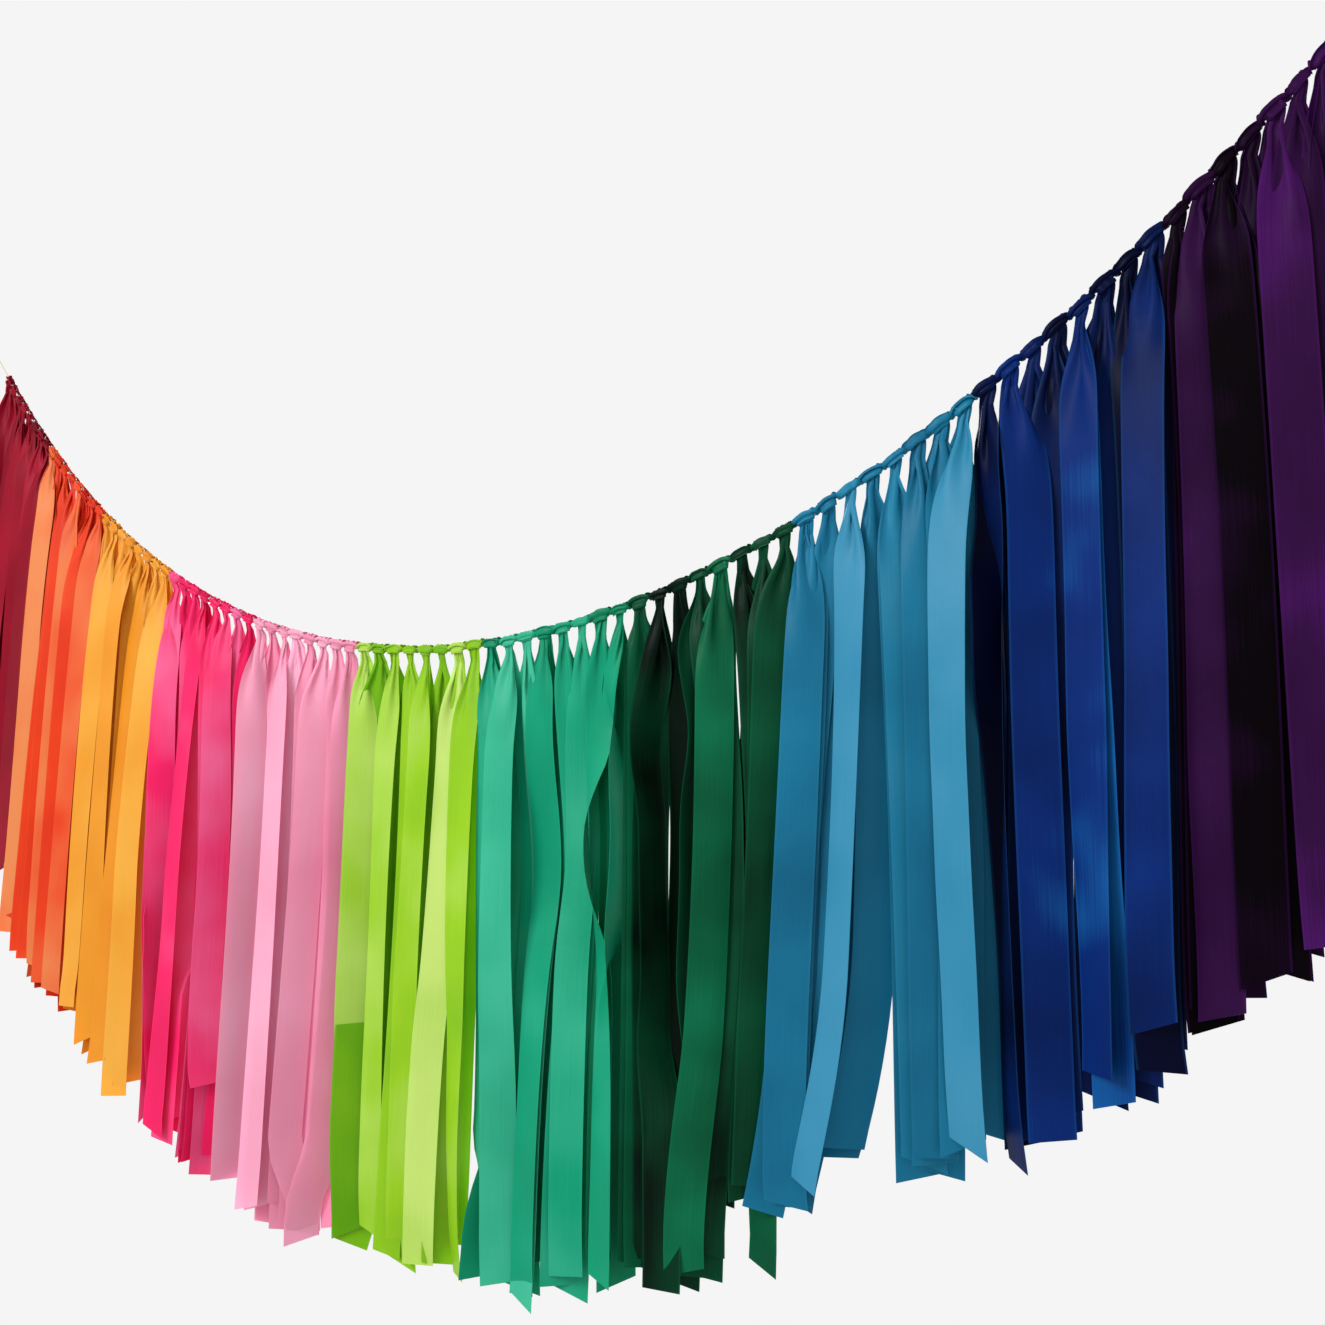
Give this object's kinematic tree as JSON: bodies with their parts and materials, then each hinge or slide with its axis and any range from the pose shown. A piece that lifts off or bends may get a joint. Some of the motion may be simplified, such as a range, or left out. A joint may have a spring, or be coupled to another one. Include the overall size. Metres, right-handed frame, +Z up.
{
  "type": "ribbon garland",
  "caption": "Rainbow garland of satin ribbons, each folded in half and hitched on a thin twine that sags between two looped ends.",
  "frame": {"origin": "centre of the eye of the left loop of the twine, where its hook passes through", "axes": "+X from the left end to the right end as seen from the front, +Y away from the front, +Z up; the ribbons hang along -Z"},
  "size_m": [1.4109, 0.0252, 0.8698],
  "materials": {
    "twine": "undyed cotton twine, two plies twisted together",
    "satin_red": "woven polyester satin ribbon with a soft sheen and a narrow woven edge",
    "satin_orange": "woven polyester satin ribbon with a soft sheen and a narrow woven edge",
    "satin_gold": "woven polyester satin ribbon with a soft sheen and a narrow woven edge",
    "satin_hot_pink": "woven polyester satin ribbon with a soft sheen and a narrow woven edge",
    "satin_light_pink": "woven polyester satin ribbon with a soft sheen and a narrow woven edge",
    "satin_lime": "woven polyester satin ribbon with a soft sheen and a narrow woven edge",
    "satin_jade": "woven polyester satin ribbon with a soft sheen and a narrow woven edge",
    "satin_forest": "woven polyester satin ribbon with a soft sheen and a narrow woven edge",
    "satin_light_blue": "woven polyester satin ribbon with a soft sheen and a narrow woven edge",
    "satin_royal_blue": "woven polyester satin ribbon with a soft sheen and a narrow woven edge",
    "satin_purple": "woven polyester satin ribbon with a soft sheen and a narrow woven edge"
  },
  "bodies": {
    "twine": {"twine": "twine"},
    "red_ribbons_1_2": {"red_ribbons_1_2": "satin_red"},
    "red_ribbons_3_4": {"red_ribbons_3_4": "satin_red"},
    "red_ribbons_5_6": {"red_ribbons_5_6": "satin_red"},
    "red_ribbons_7_8": {"red_ribbons_7_8": "satin_red"},
    "orange_ribbons_1_2": {"orange_ribbons_1_2": "satin_orange"},
    "orange_ribbons_3_4": {"orange_ribbons_3_4": "satin_orange"},
    "orange_ribbons_5_6": {"orange_ribbons_5_6": "satin_orange"},
    "orange_ribbons_7_8": {"orange_ribbons_7_8": "satin_orange"},
    "gold_ribbons_1_2": {"gold_ribbons_1_2": "satin_gold"},
    "gold_ribbons_3_4": {"gold_ribbons_3_4": "satin_gold"},
    "gold_ribbons_5_6": {"gold_ribbons_5_6": "satin_gold"},
    "gold_ribbons_7_8": {"gold_ribbons_7_8": "satin_gold"},
    "hot_pink_ribbons_1_2": {"hot_pink_ribbons_1_2": "satin_hot_pink"},
    "hot_pink_ribbons_3_4": {"hot_pink_ribbons_3_4": "satin_hot_pink"},
    "hot_pink_ribbons_5_6": {"hot_pink_ribbons_5_6": "satin_hot_pink"},
    "hot_pink_ribbons_7_8": {"hot_pink_ribbons_7_8": "satin_hot_pink"},
    "light_pink_ribbons_1_2": {"light_pink_ribbons_1_2": "satin_light_pink"},
    "light_pink_ribbons_3_4": {"light_pink_ribbons_3_4": "satin_light_pink"},
    "light_pink_ribbons_5_6": {"light_pink_ribbons_5_6": "satin_light_pink"},
    "light_pink_ribbons_7_8": {"light_pink_ribbons_7_8": "satin_light_pink"},
    "lime_ribbons_1_2": {"lime_ribbons_1_2": "satin_lime"},
    "lime_ribbons_3_4": {"lime_ribbons_3_4": "satin_lime"},
    "lime_ribbons_5_6": {"lime_ribbons_5_6": "satin_lime"},
    "lime_ribbons_7_8": {"lime_ribbons_7_8": "satin_lime"},
    "jade_ribbons_1_2": {"jade_ribbons_1_2": "satin_jade"},
    "jade_ribbons_3_4": {"jade_ribbons_3_4": "satin_jade"},
    "jade_ribbons_5_6": {"jade_ribbons_5_6": "satin_jade"},
    "jade_ribbons_7_8": {"jade_ribbons_7_8": "satin_jade"},
    "forest_ribbons_1_2": {"forest_ribbons_1_2": "satin_forest"},
    "forest_ribbon_3": {"forest_ribbon_3": "satin_forest"},
    "forest_ribbon_4": {"forest_ribbon_4": "satin_forest"},
    "forest_ribbon_5": {"forest_ribbon_5": "satin_forest"},
    "forest_ribbon_6": {"forest_ribbon_6": "satin_forest"},
    "forest_ribbon_7": {"forest_ribbon_7": "satin_forest"},
    "forest_ribbon_8": {"forest_ribbon_8": "satin_forest"},
    "light_blue_ribbon_1": {"light_blue_ribbon_1": "satin_light_blue"},
    "light_blue_ribbon_2": {"light_blue_ribbon_2": "satin_light_blue"},
    "light_blue_ribbon_3": {"light_blue_ribbon_3": "satin_light_blue"},
    "light_blue_ribbon_4": {"light_blue_ribbon_4": "satin_light_blue"},
    "light_blue_ribbon_5": {"light_blue_ribbon_5": "satin_light_blue"},
    "light_blue_ribbon_6": {"light_blue_ribbon_6": "satin_light_blue"},
    "light_blue_ribbon_7": {"light_blue_ribbon_7": "satin_light_blue"},
    "light_blue_ribbon_8": {"light_blue_ribbon_8": "satin_light_blue"},
    "royal_blue_ribbon_1": {"royal_blue_ribbon_1": "satin_royal_blue"},
    "royal_blue_ribbon_2": {"royal_blue_ribbon_2": "satin_royal_blue"},
    "royal_blue_ribbon_3": {"royal_blue_ribbon_3": "satin_royal_blue"},
    "royal_blue_ribbon_4": {"royal_blue_ribbon_4": "satin_royal_blue"},
    "royal_blue_ribbon_5": {"royal_blue_ribbon_5": "satin_royal_blue"},
    "royal_blue_ribbon_6": {"royal_blue_ribbon_6": "satin_royal_blue"},
    "royal_blue_ribbon_7": {"royal_blue_ribbon_7": "satin_royal_blue"},
    "royal_blue_ribbon_8": {"royal_blue_ribbon_8": "satin_royal_blue"},
    "purple_ribbon_1": {"purple_ribbon_1": "satin_purple"},
    "purple_ribbon_2": {"purple_ribbon_2": "satin_purple"},
    "purple_ribbon_3": {"purple_ribbon_3": "satin_purple"},
    "purple_ribbon_4": {"purple_ribbon_4": "satin_purple"},
    "purple_ribbon_5": {"purple_ribbon_5": "satin_purple"},
    "purple_ribbon_6": {"purple_ribbon_6": "satin_purple"},
    "purple_ribbon_7": {"purple_ribbon_7": "satin_purple"},
    "purple_ribbon_8": {"purple_ribbon_8": "satin_purple"}
  },
  "joints": [
    {"name": "red_ribbons_1_2_sway", "type": "hinge", "parent": "twine", "child": "red_ribbons_1_2", "pos_m": [0.05365, 0, -0.05934], "axis": [0.6746, 0, -0.7381], "range_deg": [-15, 15]},
    {"name": "red_ribbons_3_4_sway", "type": "hinge", "parent": "twine", "child": "red_ribbons_3_4", "pos_m": [0.07646, 0, -0.08402], "axis": [0.6907, 0, -0.7231], "range_deg": [-15, 15]},
    {"name": "red_ribbons_5_6_sway", "type": "hinge", "parent": "twine", "child": "red_ribbons_5_6", "pos_m": [0.0998, 0, -0.10818], "axis": [0.7072, 0, -0.707], "range_deg": [-15, 15]},
    {"name": "red_ribbons_7_8_sway", "type": "hinge", "parent": "twine", "child": "red_ribbons_7_8", "pos_m": [0.12371, 0, -0.13179], "axis": [0.7241, 0, -0.6896], "range_deg": [-15, 15]},
    {"name": "orange_ribbons_1_2_sway", "type": "hinge", "parent": "twine", "child": "orange_ribbons_1_2", "pos_m": [0.14818, 0, -0.15481], "axis": [0.7414, 0, -0.6711], "range_deg": [-15, 15]},
    {"name": "orange_ribbons_3_4_sway", "type": "hinge", "parent": "twine", "child": "orange_ribbons_3_4", "pos_m": [0.17324, 0, -0.17719], "axis": [0.759, 0, -0.6511], "range_deg": [-15, 15]},
    {"name": "orange_ribbons_5_6_sway", "type": "hinge", "parent": "twine", "child": "orange_ribbons_5_6", "pos_m": [0.19889, 0, -0.19889], "axis": [0.7768, 0, -0.6297], "range_deg": [-15, 15]},
    {"name": "orange_ribbons_7_8_sway", "type": "hinge", "parent": "twine", "child": "orange_ribbons_7_8", "pos_m": [0.22515, 0, -0.21986], "axis": [0.7949, 0, -0.6068], "range_deg": [-15, 15]},
    {"name": "gold_ribbons_1_2_sway", "type": "hinge", "parent": "twine", "child": "gold_ribbons_1_2", "pos_m": [0.25201, 0, -0.24004], "axis": [0.813, 0, -0.5822], "range_deg": [-15, 15]},
    {"name": "gold_ribbons_3_4_sway", "type": "hinge", "parent": "twine", "child": "gold_ribbons_3_4", "pos_m": [0.27948, 0, -0.25939], "axis": [0.8312, 0, -0.5559], "range_deg": [-15, 15]},
    {"name": "gold_ribbons_5_6_sway", "type": "hinge", "parent": "twine", "child": "gold_ribbons_5_6", "pos_m": [0.30756, 0, -0.27784], "axis": [0.8493, 0, -0.5279], "range_deg": [-15, 15]},
    {"name": "gold_ribbons_7_8_sway", "type": "hinge", "parent": "twine", "child": "gold_ribbons_7_8", "pos_m": [0.33625, 0, -0.29533], "axis": [0.8672, 0, -0.498], "range_deg": [-15, 15]},
    {"name": "hot_pink_ribbons_1_2_sway", "type": "hinge", "parent": "twine", "child": "hot_pink_ribbons_1_2", "pos_m": [0.36553, 0, -0.3118], "axis": [0.8847, 0, -0.4662], "range_deg": [-15, 15]},
    {"name": "hot_pink_ribbons_3_4_sway", "type": "hinge", "parent": "twine", "child": "hot_pink_ribbons_3_4", "pos_m": [0.3954, 0, -0.32718], "axis": [0.9016, 0, -0.4326], "range_deg": [-15, 15]},
    {"name": "hot_pink_ribbons_5_6_sway", "type": "hinge", "parent": "twine", "child": "hot_pink_ribbons_5_6", "pos_m": [0.42583, 0, -0.34142], "axis": [0.9178, 0, -0.397], "range_deg": [-15, 15]},
    {"name": "hot_pink_ribbons_7_8_sway", "type": "hinge", "parent": "twine", "child": "hot_pink_ribbons_7_8", "pos_m": [0.4568, 0, -0.35445], "axis": [0.9331, 0, -0.3595], "range_deg": [-15, 15]},
    {"name": "light_pink_ribbons_1_2_sway", "type": "hinge", "parent": "twine", "child": "light_pink_ribbons_1_2", "pos_m": [0.48827, 0, -0.3662], "axis": [0.9473, 0, -0.3202], "range_deg": [-15, 15]},
    {"name": "light_pink_ribbons_3_4_sway", "type": "hinge", "parent": "twine", "child": "light_pink_ribbons_3_4", "pos_m": [0.52021, 0, -0.37662], "axis": [0.9602, 0, -0.2792], "range_deg": [-15, 15]},
    {"name": "light_pink_ribbons_5_6_sway", "type": "hinge", "parent": "twine", "child": "light_pink_ribbons_5_6", "pos_m": [0.55258, 0, -0.38565], "axis": [0.9716, 0, -0.2366], "range_deg": [-15, 15]},
    {"name": "light_pink_ribbons_7_8_sway", "type": "hinge", "parent": "twine", "child": "light_pink_ribbons_7_8", "pos_m": [0.58531, 0, -0.39323], "axis": [0.9813, 0, -0.1926], "range_deg": [-15, 15]},
    {"name": "lime_ribbons_1_2_sway", "type": "hinge", "parent": "twine", "child": "lime_ribbons_1_2", "pos_m": [0.61835, 0, -0.39932], "axis": [0.9891, 0, -0.1474], "range_deg": [-15, 15]},
    {"name": "lime_ribbons_3_4_sway", "type": "hinge", "parent": "twine", "child": "lime_ribbons_3_4", "pos_m": [0.65163, 0, -0.40389], "axis": [0.9949, 0, -0.1012], "range_deg": [-15, 15]},
    {"name": "lime_ribbons_5_6_sway", "type": "hinge", "parent": "twine", "child": "lime_ribbons_5_6", "pos_m": [0.68509, 0, -0.4069], "axis": [0.9985, 0, -0.0544], "range_deg": [-15, 15]},
    {"name": "lime_ribbons_7_8_sway", "type": "hinge", "parent": "twine", "child": "lime_ribbons_7_8", "pos_m": [0.71866, 0, -0.40833], "axis": [1, 0, -0.0072], "range_deg": [-15, 15]},
    {"name": "jade_ribbons_1_2_sway", "type": "hinge", "parent": "twine", "child": "jade_ribbons_1_2", "pos_m": [0.75226, 0, -0.40818], "axis": [0.9992, 0, 0.04], "range_deg": [-15, 15]},
    {"name": "jade_ribbons_3_4_sway", "type": "hinge", "parent": "twine", "child": "jade_ribbons_3_4", "pos_m": [0.78581, 0, -0.40644], "axis": [0.9962, 0, 0.0869], "range_deg": [-15, 15]},
    {"name": "jade_ribbons_5_6_sway", "type": "hinge", "parent": "twine", "child": "jade_ribbons_5_6", "pos_m": [0.81924, 0, -0.40312], "axis": [0.9911, 0, 0.1333], "range_deg": [-15, 15]},
    {"name": "jade_ribbons_7_8_sway", "type": "hinge", "parent": "twine", "child": "jade_ribbons_7_8", "pos_m": [0.85248, 0, -0.39826], "axis": [0.9839, 0, 0.1789], "range_deg": [-15, 15]},
    {"name": "forest_ribbons_1_2_sway", "type": "hinge", "parent": "twine", "child": "forest_ribbons_1_2", "pos_m": [0.88547, 0, -0.39187], "axis": [0.9748, 0, 0.2233], "range_deg": [-15, 15]},
    {"name": "forest_ribbon_3_sway", "type": "hinge", "parent": "twine", "child": "forest_ribbon_3", "pos_m": [0.91813, 0, -0.38401], "axis": [0.9668, 0, 0.2557], "range_deg": [-15, 15]},
    {"name": "forest_ribbon_4_sway", "type": "hinge", "parent": "twine", "child": "forest_ribbon_4", "pos_m": [0.93433, 0, -0.37953], "axis": [0.9609, 0, 0.2769], "range_deg": [-15, 15]},
    {"name": "forest_ribbon_5_sway", "type": "hinge", "parent": "twine", "child": "forest_ribbon_5", "pos_m": [0.95042, 0, -0.37471], "axis": [0.9547, 0, 0.2976], "range_deg": [-15, 15]},
    {"name": "forest_ribbon_6_sway", "type": "hinge", "parent": "twine", "child": "forest_ribbon_6", "pos_m": [0.9664, 0, -0.36954], "axis": [0.9481, 0, 0.318], "range_deg": [-15, 15]},
    {"name": "forest_ribbon_7_sway", "type": "hinge", "parent": "twine", "child": "forest_ribbon_7", "pos_m": [0.98227, 0, -0.36403], "axis": [0.9412, 0, 0.3379], "range_deg": [-15, 15]},
    {"name": "forest_ribbon_8_sway", "type": "hinge", "parent": "twine", "child": "forest_ribbon_8", "pos_m": [0.99802, 0, -0.35819], "axis": [0.934, 0, 0.3574], "range_deg": [-15, 15]},
    {"name": "light_blue_ribbon_1_sway", "type": "hinge", "parent": "twine", "child": "light_blue_ribbon_1", "pos_m": [1.01365, 0, -0.35202], "axis": [0.9265, 0, 0.3764], "range_deg": [-15, 15]},
    {"name": "light_blue_ribbon_2_sway", "type": "hinge", "parent": "twine", "child": "light_blue_ribbon_2", "pos_m": [1.02915, 0, -0.34554], "axis": [0.9187, 0, 0.395], "range_deg": [-15, 15]},
    {"name": "light_blue_ribbon_3_sway", "type": "hinge", "parent": "twine", "child": "light_blue_ribbon_3", "pos_m": [1.04452, 0, -0.33875], "axis": [0.9107, 0, 0.413], "range_deg": [-15, 15]},
    {"name": "light_blue_ribbon_4_sway", "type": "hinge", "parent": "twine", "child": "light_blue_ribbon_4", "pos_m": [1.05975, 0, -0.33167], "axis": [0.9025, 0, 0.4306], "range_deg": [-15, 15]},
    {"name": "light_blue_ribbon_5_sway", "type": "hinge", "parent": "twine", "child": "light_blue_ribbon_5", "pos_m": [1.07484, 0, -0.32429], "axis": [0.8941, 0, 0.4478], "range_deg": [-15, 15]},
    {"name": "light_blue_ribbon_6_sway", "type": "hinge", "parent": "twine", "child": "light_blue_ribbon_6", "pos_m": [1.08979, 0, -0.31662], "axis": [0.8856, 0, 0.4644], "range_deg": [-15, 15]},
    {"name": "light_blue_ribbon_7_sway", "type": "hinge", "parent": "twine", "child": "light_blue_ribbon_7", "pos_m": [1.1046, 0, -0.30868], "axis": [0.8769, 0, 0.4806], "range_deg": [-15, 15]},
    {"name": "light_blue_ribbon_8_sway", "type": "hinge", "parent": "twine", "child": "light_blue_ribbon_8", "pos_m": [1.11926, 0, -0.30048], "axis": [0.8682, 0, 0.4963], "range_deg": [-15, 15]},
    {"name": "royal_blue_ribbon_1_sway", "type": "hinge", "parent": "twine", "child": "royal_blue_ribbon_1", "pos_m": [1.13377, 0, -0.29201], "axis": [0.8593, 0, 0.5115], "range_deg": [-15, 15]},
    {"name": "royal_blue_ribbon_2_sway", "type": "hinge", "parent": "twine", "child": "royal_blue_ribbon_2", "pos_m": [1.14813, 0, -0.28329], "axis": [0.8503, 0, 0.5263], "range_deg": [-15, 15]},
    {"name": "royal_blue_ribbon_3_sway", "type": "hinge", "parent": "twine", "child": "royal_blue_ribbon_3", "pos_m": [1.16234, 0, -0.27433], "axis": [0.8413, 0, 0.5406], "range_deg": [-15, 15]},
    {"name": "royal_blue_ribbon_4_sway", "type": "hinge", "parent": "twine", "child": "royal_blue_ribbon_4", "pos_m": [1.17639, 0, -0.26513], "axis": [0.8322, 0, 0.5544], "range_deg": [-15, 15]},
    {"name": "royal_blue_ribbon_5_sway", "type": "hinge", "parent": "twine", "child": "royal_blue_ribbon_5", "pos_m": [1.1903, 0, -0.2557], "axis": [0.8232, 0, 0.5678], "range_deg": [-15, 15]},
    {"name": "royal_blue_ribbon_6_sway", "type": "hinge", "parent": "twine", "child": "royal_blue_ribbon_6", "pos_m": [1.20405, 0, -0.24606], "axis": [0.8141, 0, 0.5808], "range_deg": [-15, 15]},
    {"name": "royal_blue_ribbon_7_sway", "type": "hinge", "parent": "twine", "child": "royal_blue_ribbon_7", "pos_m": [1.21765, 0, -0.23619], "axis": [0.805, 0, 0.5933], "range_deg": [-15, 15]},
    {"name": "royal_blue_ribbon_8_sway", "type": "hinge", "parent": "twine", "child": "royal_blue_ribbon_8", "pos_m": [1.2311, 0, -0.22612], "axis": [0.7959, 0, 0.6054], "range_deg": [-15, 15]},
    {"name": "purple_ribbon_1_sway", "type": "hinge", "parent": "twine", "child": "purple_ribbon_1", "pos_m": [1.24439, 0, -0.21585], "axis": [0.7868, 0, 0.6171], "range_deg": [-15, 15]},
    {"name": "purple_ribbon_2_sway", "type": "hinge", "parent": "twine", "child": "purple_ribbon_2", "pos_m": [1.25754, 0, -0.20539], "axis": [0.7778, 0, 0.6285], "range_deg": [-15, 15]},
    {"name": "purple_ribbon_3_sway", "type": "hinge", "parent": "twine", "child": "purple_ribbon_3", "pos_m": [1.27053, 0, -0.19474], "axis": [0.7689, 0, 0.6394], "range_deg": [-15, 15]},
    {"name": "purple_ribbon_4_sway", "type": "hinge", "parent": "twine", "child": "purple_ribbon_4", "pos_m": [1.28337, 0, -0.18391], "axis": [0.76, 0, 0.6499], "range_deg": [-15, 15]},
    {"name": "purple_ribbon_5_sway", "type": "hinge", "parent": "twine", "child": "purple_ribbon_5", "pos_m": [1.29607, 0, -0.1729], "axis": [0.7511, 0, 0.6601], "range_deg": [-15, 15]},
    {"name": "purple_ribbon_6_sway", "type": "hinge", "parent": "twine", "child": "purple_ribbon_6", "pos_m": [1.30861, 0, -0.16173], "axis": [0.7424, 0, 0.67], "range_deg": [-15, 15]},
    {"name": "purple_ribbon_7_sway", "type": "hinge", "parent": "twine", "child": "purple_ribbon_7", "pos_m": [1.32101, 0, -0.15039], "axis": [0.7337, 0, 0.6795], "range_deg": [-15, 15]},
    {"name": "purple_ribbon_8_sway", "type": "hinge", "parent": "twine", "child": "purple_ribbon_8", "pos_m": [1.33326, 0, -0.1389], "axis": [0.7251, 0, 0.6886], "range_deg": [-15, 15]}
  ],
  "couplings": [
    {"joint": "red_ribbons_3_4_sway", "follows": "red_ribbons_1_2_sway", "ratio": 1},
    {"joint": "red_ribbons_5_6_sway", "follows": "red_ribbons_1_2_sway", "ratio": 1},
    {"joint": "red_ribbons_7_8_sway", "follows": "red_ribbons_1_2_sway", "ratio": 1},
    {"joint": "orange_ribbons_3_4_sway", "follows": "orange_ribbons_1_2_sway", "ratio": 1},
    {"joint": "orange_ribbons_5_6_sway", "follows": "orange_ribbons_1_2_sway", "ratio": 1},
    {"joint": "orange_ribbons_7_8_sway", "follows": "orange_ribbons_1_2_sway", "ratio": 1},
    {"joint": "gold_ribbons_3_4_sway", "follows": "gold_ribbons_1_2_sway", "ratio": 1},
    {"joint": "gold_ribbons_5_6_sway", "follows": "gold_ribbons_1_2_sway", "ratio": 1},
    {"joint": "gold_ribbons_7_8_sway", "follows": "gold_ribbons_1_2_sway", "ratio": 1},
    {"joint": "hot_pink_ribbons_3_4_sway", "follows": "hot_pink_ribbons_1_2_sway", "ratio": 1},
    {"joint": "hot_pink_ribbons_5_6_sway", "follows": "hot_pink_ribbons_1_2_sway", "ratio": 1},
    {"joint": "hot_pink_ribbons_7_8_sway", "follows": "hot_pink_ribbons_1_2_sway", "ratio": 1},
    {"joint": "light_pink_ribbons_3_4_sway", "follows": "light_pink_ribbons_1_2_sway", "ratio": 1},
    {"joint": "light_pink_ribbons_5_6_sway", "follows": "light_pink_ribbons_1_2_sway", "ratio": 1},
    {"joint": "light_pink_ribbons_7_8_sway", "follows": "light_pink_ribbons_1_2_sway", "ratio": 1},
    {"joint": "lime_ribbons_3_4_sway", "follows": "lime_ribbons_1_2_sway", "ratio": 1},
    {"joint": "lime_ribbons_5_6_sway", "follows": "lime_ribbons_1_2_sway", "ratio": 1},
    {"joint": "lime_ribbons_7_8_sway", "follows": "lime_ribbons_1_2_sway", "ratio": 1},
    {"joint": "jade_ribbons_3_4_sway", "follows": "jade_ribbons_1_2_sway", "ratio": 1},
    {"joint": "jade_ribbons_5_6_sway", "follows": "jade_ribbons_1_2_sway", "ratio": 1},
    {"joint": "jade_ribbons_7_8_sway", "follows": "jade_ribbons_1_2_sway", "ratio": 1},
    {"joint": "forest_ribbon_3_sway", "follows": "forest_ribbons_1_2_sway", "ratio": 1},
    {"joint": "forest_ribbon_4_sway", "follows": "forest_ribbons_1_2_sway", "ratio": 1},
    {"joint": "forest_ribbon_5_sway", "follows": "forest_ribbons_1_2_sway", "ratio": 1},
    {"joint": "forest_ribbon_6_sway", "follows": "forest_ribbons_1_2_sway", "ratio": 1},
    {"joint": "forest_ribbon_7_sway", "follows": "forest_ribbons_1_2_sway", "ratio": 1},
    {"joint": "forest_ribbon_8_sway", "follows": "forest_ribbons_1_2_sway", "ratio": 1},
    {"joint": "light_blue_ribbon_2_sway", "follows": "light_blue_ribbon_1_sway", "ratio": 1},
    {"joint": "light_blue_ribbon_3_sway", "follows": "light_blue_ribbon_1_sway", "ratio": 1},
    {"joint": "light_blue_ribbon_4_sway", "follows": "light_blue_ribbon_1_sway", "ratio": 1},
    {"joint": "light_blue_ribbon_5_sway", "follows": "light_blue_ribbon_1_sway", "ratio": 1},
    {"joint": "light_blue_ribbon_6_sway", "follows": "light_blue_ribbon_1_sway", "ratio": 1},
    {"joint": "light_blue_ribbon_7_sway", "follows": "light_blue_ribbon_1_sway", "ratio": 1},
    {"joint": "light_blue_ribbon_8_sway", "follows": "light_blue_ribbon_1_sway", "ratio": 1},
    {"joint": "royal_blue_ribbon_2_sway", "follows": "royal_blue_ribbon_1_sway", "ratio": 1},
    {"joint": "royal_blue_ribbon_3_sway", "follows": "royal_blue_ribbon_1_sway", "ratio": 1},
    {"joint": "royal_blue_ribbon_4_sway", "follows": "royal_blue_ribbon_1_sway", "ratio": 1},
    {"joint": "royal_blue_ribbon_5_sway", "follows": "royal_blue_ribbon_1_sway", "ratio": 1},
    {"joint": "royal_blue_ribbon_6_sway", "follows": "royal_blue_ribbon_1_sway", "ratio": 1},
    {"joint": "royal_blue_ribbon_7_sway", "follows": "royal_blue_ribbon_1_sway", "ratio": 1},
    {"joint": "royal_blue_ribbon_8_sway", "follows": "royal_blue_ribbon_1_sway", "ratio": 1},
    {"joint": "purple_ribbon_2_sway", "follows": "purple_ribbon_1_sway", "ratio": 1},
    {"joint": "purple_ribbon_3_sway", "follows": "purple_ribbon_1_sway", "ratio": 1},
    {"joint": "purple_ribbon_4_sway", "follows": "purple_ribbon_1_sway", "ratio": 1},
    {"joint": "purple_ribbon_5_sway", "follows": "purple_ribbon_1_sway", "ratio": 1},
    {"joint": "purple_ribbon_6_sway", "follows": "purple_ribbon_1_sway", "ratio": 1},
    {"joint": "purple_ribbon_7_sway", "follows": "purple_ribbon_1_sway", "ratio": 1},
    {"joint": "purple_ribbon_8_sway", "follows": "purple_ribbon_1_sway", "ratio": 1}
  ]
}
